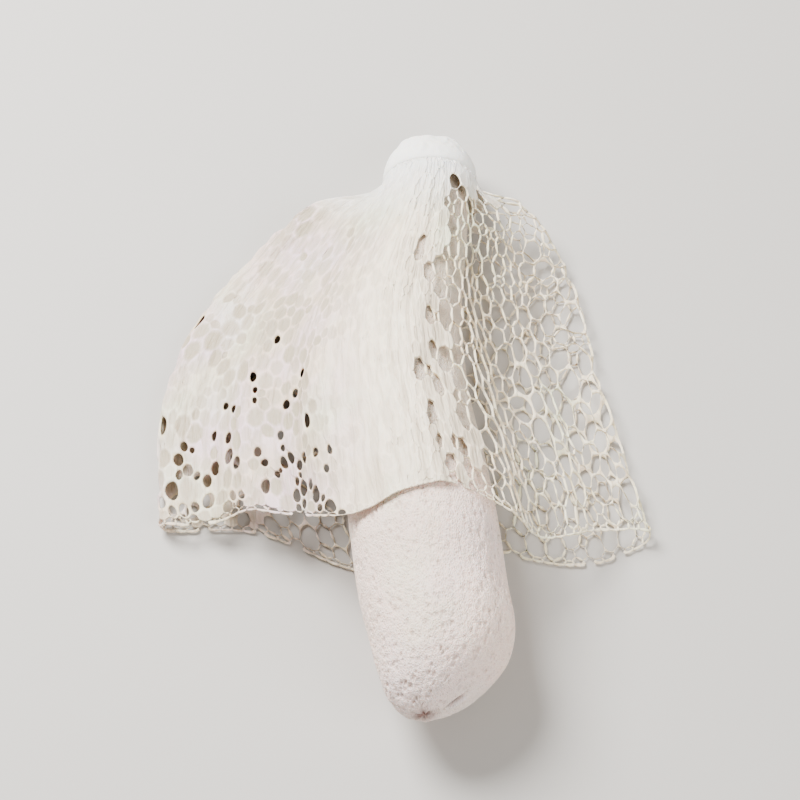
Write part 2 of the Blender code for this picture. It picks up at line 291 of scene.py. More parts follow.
def new_piece(name, node, form, material):
    """A mesh that rides on the fungus and stands for one of its solids, with values kept for each point."""
    points, faces, shares = form
    data = bpy.data.meshes.new(name)
    data.from_pydata(np.asarray(points).tolist(), [], faces)
    for label, values in shares.items():
        layer = data.attributes.new(label, "FLOAT", "POINT")
        layer.data.foreach_set("value", np.asarray(values, dtype=np.float32))
    data.materials.append(material)
    data.shade_smooth()
    piece = bpy.data.objects.new(name, data)
    bpy.context.scene.collection.objects.link(piece)
    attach(piece, BODY)
    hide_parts(node)
    return piece


def noise_at(points, offset=0.0):
    """Smooth noise from -1 to 1 at each point. The points' spacing sets its scale."""
    return np.array([noise.noise(Vector(point) + Vector((offset, 0, 0))) for point in points.tolist()])


def cells_at(points):
    """For each point, its distance from the walls of scattered cells, and a number of the cell's own."""
    walls = np.empty(len(points))
    marks = np.empty(len(points))
    for index, point in enumerate(points.tolist()):
        distances, centres = noise.voronoi(point)
        walls[index] = distances[1] - distances[0]
        marks[index] = noise.cell(centres[0] * 7.3)
    return walls, marks


def resample(points, step):
    """Points spaced by a step that may change along a line through the given points."""
    lengths = lengths_along(points)
    places = [0.0]
    while places[-1] < lengths[-1]:
        places.append(places[-1] + step(places[-1]))
    places = np.array(places) * lengths[-1] / places[-1]
    return points_along(points, lengths, places)


def revolve(outline, columns):
    """Grid of a turned form: row, angle and direction of each point, and faces that also close its ends."""
    rows = len(outline)
    angle = np.tile(2 * math.pi * np.arange(columns) / columns, rows)
    around = np.column_stack([np.cos(angle), np.zeros_like(angle), np.sin(angle)])
    row = np.repeat(np.arange(rows), columns)
    faces = []
    for first in range(rows - 1):
        for column in range(columns):
            after = (column + 1) % columns
            here, ahead = first * columns, (first + 1) * columns
            faces.append((here + column, here + after, ahead + after, ahead + column))
    ends = rows * columns
    last = (rows - 1) * columns
    for column in range(columns):
        after = (column + 1) % columns
        faces.append((ends, after, column))
        faces.append((ends + 1, last + column, last + after))
    return row, angle, around, faces


def with_ends(points, columns):
    """The points of a turned form, and then the middles of its first and its last ring."""
    return np.vstack([points, points[:columns].mean(axis=0), points[-columns:].mean(axis=0)])


def outline_normals(outline):
    """Outward direction along the axis and away from it, at each point of a (station, radius) outline."""
    ahead = np.gradient(outline, axis=0)
    normals = np.column_stack([-ahead[:, 1], ahead[:, 0]])
    return normals / np.linalg.norm(normals, axis=1)[:, None]


def distance_to_line(points, start, end):
    """Distance of flat points from a stretch of line, and the share of the way along it."""
    start, end = np.array(start), np.array(end)
    along = end - start
    share = np.clip(((points - start) @ along) / (along @ along), 0, 1)
    return np.linalg.norm(points - start - share[:, None] * along, axis=1), share


def stem_outline():
    """Half outline of the stem as (station, radius), from the middle of the scar to the flat top."""
    turn = np.linspace(0.02, math.pi / 2, 200)
    radius = STEM_RADIUS * np.sin(turn) ** BASE_SQUARENESS
    station = BASE_ROUNDING * (1 - np.cos(turn) ** BASE_SQUARENESS)
    station += SCAR_DEPTH * np.exp(-((radius / SCAR_RADIUS) ** 2))
    shaft = np.linspace(BASE_ROUNDING, STEM_LENGTH, 300)[1:]
    outline = np.column_stack([np.append(station, shaft), np.append(radius, stem_radius(shaft))])
    top = np.array([[STEM_LENGTH, NECK_RADIUS / 2]])
    fine_end = STEM_FINE_END + STEM_RADIUS
    return resample(np.vstack([outline, top]), lambda at: STEM_FINE_ROW if at < fine_end else STEM_COARSE_ROW)


# The sponge's pits, and what marks its base. The crease runs between two points of the stem's cross-section
PIT_WALLS = (0.04, 0.5)
PIT_WANDER = 0.25
PIT_WANDER_SIZE = 2.2
PIT_PATCH = 6 * MM
PIT_MEAN = 0.95
PIT_UNEVEN = 0.3
WRINKLE_SPAN = (16 * MM, 4 * MM)
WRINKLE_SIZE = 2.6 * MM
WRINKLE_DEPTH = 0.32 * MM
PUCKERS = 7
PUCKER_DEPTH = 0.3 * MM
PUCKER_RADIUS = 1.5 * SCAR_RADIUS
SCAR_SINK = 0.9 * MM
SCAR_STAIN = 1.25 * SCAR_RADIUS
CREASE = ((4.6 * MM, 1.4 * MM), (8.8 * MM, 3.8 * MM))
CREASE_DEPTH = 1.4 * MM
CREASE_WIDTH = 0.6 * MM
CREASE_WANDER = 0.5 * MM
CREASE_ENDS = (0.08, 0.92)
LIP_MOVE = (0.6 * MM, -1.0 * MM)
LIP_HEIGHT = 0.6 * MM
LIP_WIDTH = 1.4 * CREASE_WIDTH
BASE_SKEW = 3.2 * MM
BASE_SKEW_REACH = 16 * MM
# Where the painted shadow of the veil on the stem rises
VEIL_SHADOW_SPAN = (50 * MM, 66 * MM)


def stem_mesh(settings):
    """Points, faces and kept shares of the stem: pits, lumps, a wrinkled base with its scar and crease."""
    outline = stem_outline()
    row, angle, around, faces = revolve(outline, STEM_COLUMNS)
    station, radius = outline[row].T
    out_along, out_away = outline_normals(outline)[row].T
    x, y, z = stem_axis(station)
    # The base slants to the left
    x = x - BASE_SKEW * np.clip(1 - station / BASE_SKEW_REACH, 0, 1) ** 2

    # The same low lumps as the solid has
    bare = (station < TAPER_END - CAP_OVERLAP) & (radius > SCAR_RADIUS)
    lump_points = np.column_stack([station / LUMP_LENGTH, around[:, [0, 2]] * LUMPS_AROUND])
    depth = STEM_LUMPS * np.maximum(noise_at(lump_points), 0) * (1 + np.minimum(around[:, 2], 0)) * bare

    # Pits: the hollows between the walls of scattered cells that are drawn out lengthwise
    on_tube = around * radius[:, None] + np.column_stack([0 * y, y / settings.pit_stretch, 0 * y])
    wander = noise_at(on_tube / (PIT_WANDER_SIZE * settings.pit_width))
    walls, marks = cells_at(on_tube / settings.pit_width + PIT_WANDER * wander[:, None])
    hollow = smoothstep(PIT_WALLS, walls) * (0.5 + 0.5 * marks)
    patches = noise_at(on_tube / PIT_PATCH, 40.0)
    depth += settings.pit_depth * hollow * (PIT_MEAN + PIT_UNEVEN * patches)

    # Wrinkles and puckers of the base, the scar in its middle and the crease beside it
    near_base = smoothstep(WRINKLE_SPAN, station)
    wrinkles = noise_at(on_tube / WRINKLE_SIZE, 80.0)
    depth += WRINKLE_DEPTH * near_base * np.maximum(wrinkles, -0.3)
    near_scar = np.exp(-((radius / PUCKER_RADIUS) ** 2)) * (station < BASE_ROUNDING)
    depth += PUCKER_DEPTH * near_scar * np.cos(PUCKERS * angle + 2 * wander) - SCAR_SINK * near_scar
    across = around[:, [0, 2]] * radius[:, None]
    gap, share = distance_to_line(across + CREASE_WANDER * wander[:, None], *CREASE)
    fade = np.sin(np.pi * np.clip(share, *CREASE_ENDS)) * (station < BASE_ROUNDING)
    crease = np.exp(-((gap / CREASE_WIDTH) ** 2)) * fade
    lip_gap, _ = distance_to_line(across, *(np.array(CREASE) + LIP_MOVE))
    lip = np.exp(-((lip_gap / LIP_WIDTH) ** 2)) * fade
    depth += CREASE_DEPTH * crease - LIP_HEIGHT * lip

    away = radius - depth * out_away
    points = np.column_stack([x + away * around[:, 0], y - depth * out_along, z + away * around[:, 2]])
    points[:, 2] = np.maximum(points[:, 2], 0.0)
    points = with_ends(points, STEM_COLUMNS) + SHIFT

    scar = np.exp(-((radius / SCAR_STAIN) ** 2)) * (station < BASE_ROUNDING)
    scar = scar * (0.8 + 0.4 * wrinkles)
    shares = {
        # The pit share is the pits' depth, which the material paints as shade
        "pit": np.clip(hollow * (0.9 + PIT_UNEVEN * patches), 0, 1),
        "base": near_base,
        "scar": np.clip(np.maximum(scar, 0.9 * crease), 0, 1),
        "lip": lip,
        # covered rises where the veil lies over the stem, and the material paints the veil's shadow there
        "covered": smoothstep(VEIL_SHADOW_SPAN, station),
    }
    return points, faces, {label: np.append(values, [values[0], 0.0]) for label, values in shares.items()}


def round_corners(points, times):
    """Cuts each corner of a line off, a few times over, so that it turns smoothly. Its ends stay."""
    for _ in range(times):
        near = 0.75 * points[:-1] + 0.25 * points[1:]
        far = 0.25 * points[:-1] + 0.75 * points[1:]
        cut = np.stack([near, far], axis=1).reshape(-1, 2)
        points = np.vstack([points[:1], cut[1:-1], points[-1:]])
    return points


def cap_outline():
    """Half outline of the cap as (height above its margin, radius), from the pore to the socket's ceiling."""
    ceiling = CAP_OVERLAP + 0.3 * MM
    inner = CAP_MARGIN_RADIUS - CAP_WALL
    waist = CAP_TOP_RADIUS + CAP_WAIST * (CAP_MARGIN_RADIUS - CAP_TOP_RADIUS)
    corners = [
        (CAP_HEIGHT - PORE_DEPTH, 0.02 * MM),
        (CAP_HEIGHT - PORE_DEPTH, PORE_RADIUS * 0.5),
        (CAP_HEIGHT - PORE_DEPTH * 0.75, PORE_RADIUS * 0.9),
        (CAP_HEIGHT - PORE_RIM, PORE_RADIUS),
        (CAP_HEIGHT - 0.1 * MM, PORE_RADIUS + 0.6 * PORE_RIM),
        (CAP_HEIGHT, PORE_RADIUS + 1.5 * PORE_RIM),
        (CAP_HEIGHT - 0.2 * MM, CAP_TOP_RADIUS - 0.7 * CAP_SHOULDER),
        (CAP_HEIGHT - 0.9 * MM, CAP_TOP_RADIUS + 0.2 * MM),
        (CAP_HEIGHT - 2.4 * MM, CAP_TOP_RADIUS + 0.9 * MM),
        (CAP_HEIGHT / 2, waist),
        (CAP_SHOULDER + 1.5 * MM, CAP_MARGIN_RADIUS - 0.5 * MM),
        (0.9 * MM, CAP_MARGIN_RADIUS - 0.25 * MM),
        (0.15 * MM, CAP_MARGIN_RADIUS - 0.7 * MM),
        (0.15 * MM, inner + 0.3 * MM),
        (1.2 * MM, inner),
        (ceiling, inner),
        (ceiling, 0.02 * MM),
    ]
    return resample(round_corners(np.array(corners), 3), lambda at: CAP_ROW)


# The cap's top is cut back, and its skin has low hollows, lengthwise dents and a fine grain
CAP_SLANT = 0.4
CAP_STRETCH = 1.6
CAP_WALLS = (0.05, 0.55)
CAP_WANDER = 0.3
CAP_WANDER_SIZE = 3 * MM
CAP_SMOOTH = 0.7
CAP_SMOOTH_SPAN = (3 * MM, 0.5 * MM)
CAP_DENTS_AROUND = 2.6
CAP_DENT_LENGTH = 14 * MM
CAP_DENT_DEPTH = 0.5 * MM
CAP_GRAIN = 0.9 * MM
CAP_GRAIN_DEPTH = 0.05 * MM


def cap_mesh(settings):
    """Points, faces and kept shares of the cap: a low raised net, lengthwise dents and the pore."""
    outline = cap_outline()
    row, _, around, faces = revolve(outline, CAP_COLUMNS)
    height, radius = outline[row].T
    out_along, out_away = -outline_normals(outline)[row].T
    side_end = int(np.argmax(outline[:, 1]))
    outside = smoothstep((PORE_RADIUS, PORE_RADIUS + 2 * PORE_RIM), radius) * (row < side_end + 6)
    outside *= 1 - CAP_SMOOTH * smoothstep(CAP_SMOOTH_SPAN, height)

    on_skin = around * radius[:, None] + np.column_stack([0 * height, height / CAP_STRETCH, 0 * height])
    wander = noise_at(on_skin / CAP_WANDER_SIZE)
    walls, marks = cells_at(on_skin / settings.net_width + CAP_WANDER * wander[:, None])
    hollow = smoothstep(CAP_WALLS, walls) * (0.4 + 0.6 * marks)
    dent_points = np.column_stack([around[:, [0, 2]] * CAP_DENTS_AROUND, height / CAP_DENT_LENGTH])
    dents = np.maximum(noise_at(dent_points, 20.0), -0.2)
    grain = noise_at(on_skin / CAP_GRAIN, 60.0)
    depth = settings.net_height * hollow + CAP_DENT_DEPTH * dents + CAP_GRAIN_DEPTH * grain
    depth *= outside

    start = np.array(stem_axis(STEM_LENGTH - CAP_OVERLAP)) + SHIFT
    away = radius - depth * out_away
    points = start + around * away[:, None]
    points[:, 1] += height - depth * out_along
    points[:, 1] -= CAP_SLANT * np.maximum(away * around[:, 2], 0) * (height / CAP_HEIGHT) ** 2
    pore = smoothstep((PORE_RADIUS + PORE_RIM, PORE_RADIUS * 0.8), radius) * (row < side_end)
    # hollow and pore carry where the material paints shade
    shares = {"hollow": np.append(np.clip(hollow * outside, 0, 1), [0, 0]), "pore": np.append(pore, [1, 0])}
    return with_ends(points, CAP_COLUMNS), faces, shares


# Where the veil keeps off the stem and the floor, and how it stands out under the cap's margin
CLING = 0.55 * MM
VEIL_FLOOR = 0.55 * MM
NET_START = 0.008
SHOULDER = 2.6 * MM
SHOULDER_SPAN = (151 * MM, 128 * MM)
TUCK = 1.6 * MM
TUCK_SPAN = (154.0 * MM, 155.9 * MM)


def tent_half(half_width, reach, height, edge_height):
    """Half of the tent's section, as (x, z) from the underside's middle, round the edge fold, to the top."""
    inner = half_width - EDGE_RADIUS
    across = np.linspace(0, inner, 30)
    bottom = np.column_stack([across, VEIL_FLOOR + edge_height * (across / inner) ** 2])
    turn = np.linspace(-math.pi / 2, math.pi / 2, 12)[1:]
    fold = np.column_stack(
        [inner + EDGE_RADIUS * np.cos(turn), bottom[-1, 1] + EDGE_RADIUS * (1 + np.sin(turn))]
    )
    leave = np.array([reach * math.sin(TENT_ANGLE), height + reach * math.cos(TENT_ANGLE)])
    meet = fold[-1]
    tail = TENT_TAIL * np.linalg.norm(leave - meet)
    lean = leave + tail * np.array([math.cos(TENT_ANGLE), -math.sin(TENT_ANGLE)])
    flat = meet - tail * np.array([1.0, 0.0])
    share = np.linspace(0, 1, 40)[1:, None]
    slope = (1 - share) ** 3 * meet + 3 * (1 - share) ** 2 * share * flat
    slope = slope + 3 * (1 - share) * share**2 * lean + share**3 * leave
    arc = np.linspace(math.pi / 2 - TENT_ANGLE, math.pi / 2, 20)[1:]
    crown = np.column_stack([reach * np.cos(arc), height + reach * np.sin(arc)])
    return np.vstack([bottom, fold, slope, crown])


def veil_section(share):
    """Points round the veil, a share of the way from its neck to its hem, on the solid's drape.

    The first half of them goes up its right side and the second half down its left.
    """
    station = VEIL_TOP - VEIL_RUN * share
    _, _, z = stem_axis(station)
    reach = stem_radius(station) + CLING
    turn = math.pi / 2 * max(0.0, share - FLARE_START) / (1 - FLARE_START)
    widths = []
    for width, power in ((HALF_WIDTH_RIGHT, FLARE_POWER_RIGHT), (HALF_WIDTH_LEFT, FLARE_POWER_LEFT)):
        flare = (1 - HEM_FLARE) * math.sin(turn) ** power + HEM_FLARE * share**2
        widths.append(reach + (width - reach) * flare)
    edge_height = (z - EDGE_RADIUS - VEIL_FLOOR) * (1 - smoothstep(EDGE_DROP_SPAN, share))
    right, left = (tent_half(width, reach, z, edge_height) for width in widths)
    outline = np.vstack([right, (left * [-1, 1])[::-1][1:]])
    lengths = lengths_along(outline)
    around = np.linspace(0, 1, SECTION_POINTS, endpoint=False)
    places = np.interp(around, (0, 0.5, 1), (0, lengths[len(right) - 1], lengths[-1]))
    tent = points_along(outline, lengths, places)
    angle = 2 * math.pi * around - math.pi / 2
    ring = np.column_stack([reach * np.cos(angle), z + reach * np.sin(angle)])
    blend = smoothstep(TENT_SPAN, share)
    section = (1 - blend) * ring + blend * tent

    # Folds run down the slopes and stand outwards, and die out on the stem and underneath
    even = places / lengths[-1]
    sideways = np.abs(section[:, 0]) / np.where(section[:, 0] > 0, *widths)
    loose = np.clip(sideways * (1 - sideways) * 4, 0, 1) * (section[:, 1] > FOLD_FLOOR)
    fold = FOLD_HEIGHT * share * loose * (1 - np.cos(2 * math.pi * FOLDS * even + FOLD_PHASE)) / 2
    ahead = np.roll(section, -1, axis=0) - np.roll(section, 1, axis=0)
    outward = np.column_stack([ahead[:, 1], -ahead[:, 0]])
    outward /= np.linalg.norm(outward, axis=1)[:, None]
    section = section + outward * fold[:, None]

    # Along the stem: shorter at the sides, and the hem waves
    neck_run = VEIL_RUN * FLARE_START
    edge_run = np.where(section[:, 0] > 0, VEIL_RUN_RIGHT, VEIL_RUN_LEFT) - neck_run
    edge_run = min(VEIL_RUN * share, neck_run) + edge_run * (1 - math.cos(turn))
    edge = np.clip(sideways, 0, 1) ** EDGE_POWER
    wave = HEM_WAVE_HEIGHT * share**3 * np.sin(2 * math.pi * HEM_WAVES * (even - 0.5))
    along = VEIL_TOP - VEIL_RUN * share * (1 - edge) - edge_run * edge - wave

    # Keep clear of the stem, stand out under the cap's margin, and stay off the surface underneath
    x, _, z = stem_axis(along)
    away = section - np.column_stack([0 * z, z])
    distance = np.linalg.norm(away, axis=1)
    shoulder = SHOULDER * (1 - smoothstep(SHOULDER_SPAN, along)) - TUCK * smoothstep(TUCK_SPAN, along)
    away *= (np.maximum(distance, stem_radius(along) + CLING + shoulder) / distance)[:, None]
    return np.column_stack([away[:, 0] + x, along, np.maximum(away[:, 1] + z, VEIL_FLOOR)])


# How far apart the points are that give the surface's slope: round it and down it
STEP_AROUND = 0.004
STEP_DOWN = 0.01


class Drape:
    """The veil's draped surface, read by how far round it and how far towards the hem a point is."""

    def __init__(self):
        self.shares = np.linspace(NET_START, 1, STATIONS)
        self.table = np.array([veil_section(share) for share in self.shares]) + SHIFT
        loops = np.diff(np.concatenate([self.table, self.table[:, :1]], axis=1), axis=1)
        self.girth = np.linalg.norm(loops, axis=2).sum(axis=1)

    def points(self, around, share):
        """Points on the surface. around wraps at 1."""
        row = np.clip((share - NET_START) / (1 - NET_START), 0, 1) * (STATIONS - 1)
        above = np.minimum(row.astype(int), STATIONS - 2)
        column = (around % 1.0) * SECTION_POINTS
        left = column.astype(int) % SECTION_POINTS
        right = (left + 1) % SECTION_POINTS
        part = (column - np.floor(column))[:, None]
        near = self.table[above, left] * (1 - part) + self.table[above, right] * part
        far = self.table[above + 1, left] * (1 - part) + self.table[above + 1, right] * part
        down = (row - above)[:, None]
        return near * (1 - down) + far * down

    def normals(self, around, share):
        """Outward directions of the surface."""
        turn = self.points(around + STEP_AROUND, share) - self.points(around - STEP_AROUND, share)
        after, before = np.minimum(share + STEP_DOWN, 1), np.maximum(share - STEP_DOWN, NET_START)
        run = self.points(around, after) - self.points(around, before)
        outward = np.cross(turn, run)
        lengths = np.linalg.norm(outward, axis=1)
        return outward / np.maximum(lengths, 1e-12)[:, None]


# Sizes and shapes of the net's cells. Spans across are shares of the girth, from the underside's middle
# round the right side and over the stem, and spans down are shares of the way from the neck to the hem
LEFT_SPANS = ((0.54, 0.6), (0.83, 0.9))
RIGHT_SPANS = ((0.16, 0.22), (0.42, 0.46))
SKIRT_SPAN = (0.02, 0.42)
HEM_SPAN = (0.93, 0.99)
BAND_SPANS = ((0.8, 0.88), (0.9, 0.95))
BAND_SIZE = 0.78
STRETCH_SPAN = (0.02, 0.5)
NECK_STRETCH = 2.4
SKIRT_STRETCH = 1.55
HEM_STRETCH = 1.0
RIGHT_SIZE_SPAN = (0.3, 0.75)
RIGHT_SIZES = (0.84, 1.1)
LEFT_SIZE = 0.72
SIZE_CHOICES = (1.45, 1.2, 1.0, 0.85, 0.7)
TRIES = 12000
MOST_CELLS = 6000
PACKING = 0.84
STEM_CROWDING = 0.5
STEM_CROWDING_REACH = 0.085


def crowding():
    """Shares of a turn on the flat ring, and of the girth that they stand for: cells crowd over the stem."""
    turn = np.linspace(0, 1, 400)
    room = 1 - STEM_CROWDING * np.exp(-(((turn - 0.5) / STEM_CROWDING_REACH) ** 2))
    girth = running_sum((room[1:] + room[:-1]) / 2)
    return turn, girth / girth[-1]


def on_left(around):
    """1 on the veil's left slope, 0 elsewhere."""
    return within(LEFT_SPANS, around)


def on_right(around):
    """1 on the veil's right slope, 0 elsewhere."""
    return within(RIGHT_SPANS, around)


def cell_stretch(share):
    """Length over width of the net's cells: long at the gathered neck, round at the hem."""
    stretch = between((NECK_STRETCH, SKIRT_STRETCH), smoothstep(STRETCH_SPAN, share))
    return stretch + (HEM_STRETCH - SKIRT_STRETCH) * smoothstep(HEM_SPAN, share)


def cell_width(settings, around, share):
    """Width of the net's cells: small at the neck, on the left, in a band before the hem and at the hem."""
    skirt = smoothstep(SKIRT_SPAN, share)
    width = between((settings.neck_cell, settings.skirt_cell), skirt)
    width += (settings.hem_cell - settings.skirt_cell) * smoothstep(HEM_SPAN, share)
    right = between(RIGHT_SIZES, smoothstep(RIGHT_SIZE_SPAN, share))
    scale = 1 + (LEFT_SIZE - 1) * on_left(around) + (right - 1) * on_right(around)
    return width * between((1, scale), skirt) * between((1, BAND_SIZE), within(BAND_SPANS, share))


def scatter_seeds(settings, drape, logarithm, draw):
    """Middles of the cells, as (turn, logarithm of the radius) on a flat ring, with rims at both ends."""
    crowded = crowding()

    def size_at(turn, ring):
        share = np.interp(ring, logarithm, drape.shares)
        around = np.interp(turn / (2 * math.pi), *crowded)
        width = cell_width(settings, around, share)
        return width * 2 * math.pi / np.interp(share, drape.shares, drape.girth)

    seeds, rims = [], []
    for ring in (0.0, logarithm[-1]):
        count = round(2 * math.pi / float(size_at(math.pi, ring)))
        rims.append(range(len(seeds), len(seeds) + count))
        offset = draw.random()
        for index in range(count):
            turn = 2 * math.pi * ((index + offset) / count % 1.0)
            seeds.append((turn, ring, float(size_at(turn, ring))))
    found = np.empty((MOST_CELLS, 3))
    found[: len(seeds)] = seeds
    total = len(seeds)
    turns, rings = np.meshgrid(np.linspace(0, 2 * math.pi, 90), np.linspace(0, logarithm[-1], 60))
    finest = float(size_at(turns, rings).min())
    for choice in SIZE_CHOICES:
        for _ in range(TRIES):
            turn = draw.uniform(0, 2 * math.pi)
            ring = draw.uniform(0, logarithm[-1])
            size = float(size_at(turn, ring))
            if draw.random() > finest / size:
                continue
            size *= choice
            beside = np.abs(found[:total, 0] - turn)
            beside = np.minimum(beside, 2 * math.pi - beside)
            apart = np.hypot(beside, found[:total, 1] - ring)
            if (apart > PACKING * (found[:total, 2] + size) / 2).all():
                found[total] = turn, ring, size
                total += 1
    return found[:total], rims


# A space where even noise makes streaks down the veil: a ring of a radius, and a length down the veil
STREAKS_AROUND = 24
STREAKS_ALONG = 8


class Net:
    """The veil's net: corners where strands meet, and cells that list their corners anticlockwise."""

    def __init__(self, settings, drape, draw):
        growth = 2 * math.pi * VEIL_LENGTH / (drape.girth * cell_stretch(drape.shares))
        steps = (growth[1:] + growth[:-1]) / 2 * np.diff(drape.shares)
        logarithm = running_sum(steps)
        seeds, rims = scatter_seeds(settings, drape, logarithm, draw)
        flat = np.exp(seeds[:, 1])[:, None] * np.column_stack([np.cos(seeds[:, 0]), np.sin(seeds[:, 0])])
        neck = set(rims[0])
        cells = [[] for _ in seeds]
        corners = []
        for triangle in geometry.delaunay_2d_cdt([Vector(point) for point in flat], [], [], 0, 1e-7, True)[2]:
            if neck.issuperset(triangle):
                continue
            weights = 1 / seeds[list(triangle), 2]
            middle = (flat[list(triangle)] * weights[:, None]).sum(axis=0) / weights.sum()
            for seed in triangle:
                cells[seed].append(len(corners))
            corners.append(middle)
        for rim in rims:
            for index, seed in enumerate(rim):
                after = rim[(index + 1) % len(rim)]
                middle = flat[seed] + flat[after]
                middle *= np.linalg.norm(flat[seed]) / np.linalg.norm(middle)
                for either in (seed, after):
                    cells[either].append(len(corners))
                corners.append(middle)
        corners = np.array(corners)
        for cell in cells:
            centre = corners[cell].mean(axis=0)
            cell.sort(key=lambda corner: math.atan2(*(corners[corner] - centre)[::-1]))
        turns = np.arctan2(corners[:, 1], corners[:, 0]) / (2 * math.pi) % 1.0
        self.around = np.interp(turns, *crowding())
        self.share = np.interp(np.log(np.linalg.norm(corners, axis=1)), logarithm, drape.shares)
        self.cells = cells
        self.hem = set(rims[1])

    def streaks(self):
        """Places of the corners in a space where even noise makes streaks that run down the veil."""
        turn = 2 * math.pi * self.around
        return np.column_stack(
            [STREAKS_AROUND * np.cos(turn), STREAKS_AROUND * np.sin(turn), STREAKS_ALONG * self.share]
        )


# Low waves in the veil
STREAK_SPACING = 0.6
STREAK_HEIGHT = 0.7 * MM
STREAK_SPAN = (0.02, 0.12)
RIPPLE_SIZE = 9 * MM
RIPPLE_HEIGHT = 0.7 * MM
RIPPLE_SPAN = (0.1, 0.4)

# Which cells are open, how wide their holes are, and how deep the closed ones lie
STEM_MIDDLE = 0.515
STEM_REACH = 0.07
NECK_OPEN_SPAN = (0.05, 0.2)
LEFT_CLOSED = 0.96
LEFT_REOPENED = 0.5
LEFT_OPEN_SPAN = (0.45, 0.95)
BLUR_SIZE = 8 * MM
BLUR_OPENS = 1.1
LEFT_HOLES = (0.18, 0.34)
LEFT_HEM_HOLES = (0.32, 0.65)
LEFT_HEM_SPAN = (0.75, 0.97)
LEFT_DENTED = 0.6
RIGHT_HOLES = (0.66, 0.96)
HEM_COVERED = 0.6
DENTS = (0.15, 0.95)
DENT_LEAST = 0.2
DENT_DRAWN = 0.6
DENT_BLUR = 0.9
STEM_DENTS = 0.35


def over_stem(around):
    """1 where the veil lies on the stem, 0 elsewhere."""
    return np.exp(-(((around - STEM_MIDDLE) / STEM_REACH) ** 4))


def openness(around, share):
    """How open the net is: fully at the right, little on the left, and not at the neck or over the stem."""
    lower = smoothstep(LEFT_OPEN_SPAN, share)
    opened = 1 - over_stem(around) - on_left(around) * (LEFT_CLOSED - LEFT_REOPENED * lower)
    return np.clip(opened, 0, 1) * smoothstep(NECK_OPEN_SPAN, share)


def hole_sizes(net, spots, draw):
    """For each cell the size of its hole, from 0 for none to 1 for a wide one, and the depth of its skin."""
    holes, depths = [], []
    for index, cell in enumerate(net.cells):
        around = float(np.median(net.around[cell]))
        share = float(net.share[cell].mean())
        blur = noise.noise(Vector(spots[cell].mean(axis=0)) / BLUR_SIZE)
        opened = float(openness(around, share))
        opened *= 1 + BLUR_OPENS * blur * (1 - opened)
        left = float(on_left(around))
        lower = float(smoothstep(LEFT_HEM_SPAN, share))
        sizes = np.array(LEFT_HOLES) * (1 - lower) + np.array(LEFT_HEM_HOLES) * lower
        sizes = sizes * left + np.array(RIGHT_HOLES) * (1 - left)
        chance, size, deep = draw.random(), draw.random(), draw.random()
        covered = float(over_stem(around))
        if index in net.hem and covered < HEM_COVERED:
            holes.append(1 - covered)
        elif index not in net.hem and chance < opened * (1 - LEFT_DENTED * left * (1 - lower)):
            holes.append(float(between(sizes, size)))
        else:
            holes.append(0.0)
        deep = DENT_DRAWN * deep + DENT_LEAST + DENT_BLUR * blur
        deep = 1.0 if chance < opened else min(max(deep, 0.0), 1.0)
        depths.append(between(DENTS, deep) * between((1, STEM_DENTS), covered))
    return holes, depths


def veil_mesh(settings):
    """Points, faces and kept shares of the lace, to be rounded by one subdivision."""
    draw = random.Random(settings.seed)
    drape = Drape()
    net = Net(settings, drape, draw)
    spots = drape.points(net.around, net.share)
    outward = drape.normals(net.around, net.share)
    holes, depths = hole_sizes(net, spots, draw)
    above = spots[:, 2] > FOLD_FLOOR
    lift = RIPPLE_HEIGHT * noise_at(spots / RIPPLE_SIZE) * (smoothstep(RIPPLE_SPAN, net.share) * above)
    streaks = STREAK_HEIGHT * noise_at(STREAK_SPACING * net.streaks())
    lift += streaks * above * smoothstep(STREAK_SPAN, net.share)
    spots = spots + outward * lift[:, None]
    return lace_mesh(settings, net, spots, outward, holes, depths, draw)


def boundary_loops(cells):
    """Loops of corners along the edges of the lace, each in the order in which a cell would list them."""
    sides = {(here, after) for cell in cells for here, after in zip(cell, cell[1:] + cell[:1])}
    follows = {}
    for here, after in sorted(sides):
        if (after, here) not in sides:
            follows.setdefault(after, []).append(here)
    loops = []
    while follows:
        start = next(iter(follows))
        loop = [start]
        here = start
        while True:
            after = follows[here].pop()
            if not follows[here]:
                del follows[here]
            if after == start:
                break
            loop.append(after)
            here = after
        loops.append(loop)
    return loops


def side_moves(spots, outward, loop):
    """For a strand width of 1, where the strands' edges lie from each corner of a loop."""
    moves = []
    for before, here, after in zip(loop[-1:] + loop[:-1], loop, loop[1:] + loop[:1]):
        come = np.cross(outward[here], spots[here] - spots[before])
        leave = np.cross(outward[here], spots[after] - spots[here])
        come /= max(np.linalg.norm(come), 1e-9)
        leave /= max(np.linalg.norm(leave), 1e-9)
        moves.append((come + leave) / max(1 + come @ leave, 0.5))
    return moves


# Heights and widths of the strands, the skin of the closed cells, and the cords along the veil's edges
RIDGE = 0.5 * MM
RIDGE_UNEVEN = 0.25
RIDGE_PATCH = 3 * MM
CLOSED_RIDGE = (0.4, 0.8)
CLOSED_RIDGE_SPAN = (0.03, 0.3)
HEM_RIDGE = 0.5
HEM_RIDGE_SPAN = (0.93, 1.0)
MOST_INWARD = 0.62
STRAND_UNEVEN = 0.25
STRAND_PATCH = 5 * MM
HEM_STRAND = 0.6
SKIN = 0.1 * MM
SKIN_DEPTH = 0.13 * MM
BOWL = 0.35
BOWL_RISE = 0.25
EDGE_CORD = 0.45
STEM_CORD = 0.5

# How many of the hem's cells are torn away, and of its corners stick out
TORN = 0.12
SPIKES = 0.1
SPIKE_LENGTH = 2.6


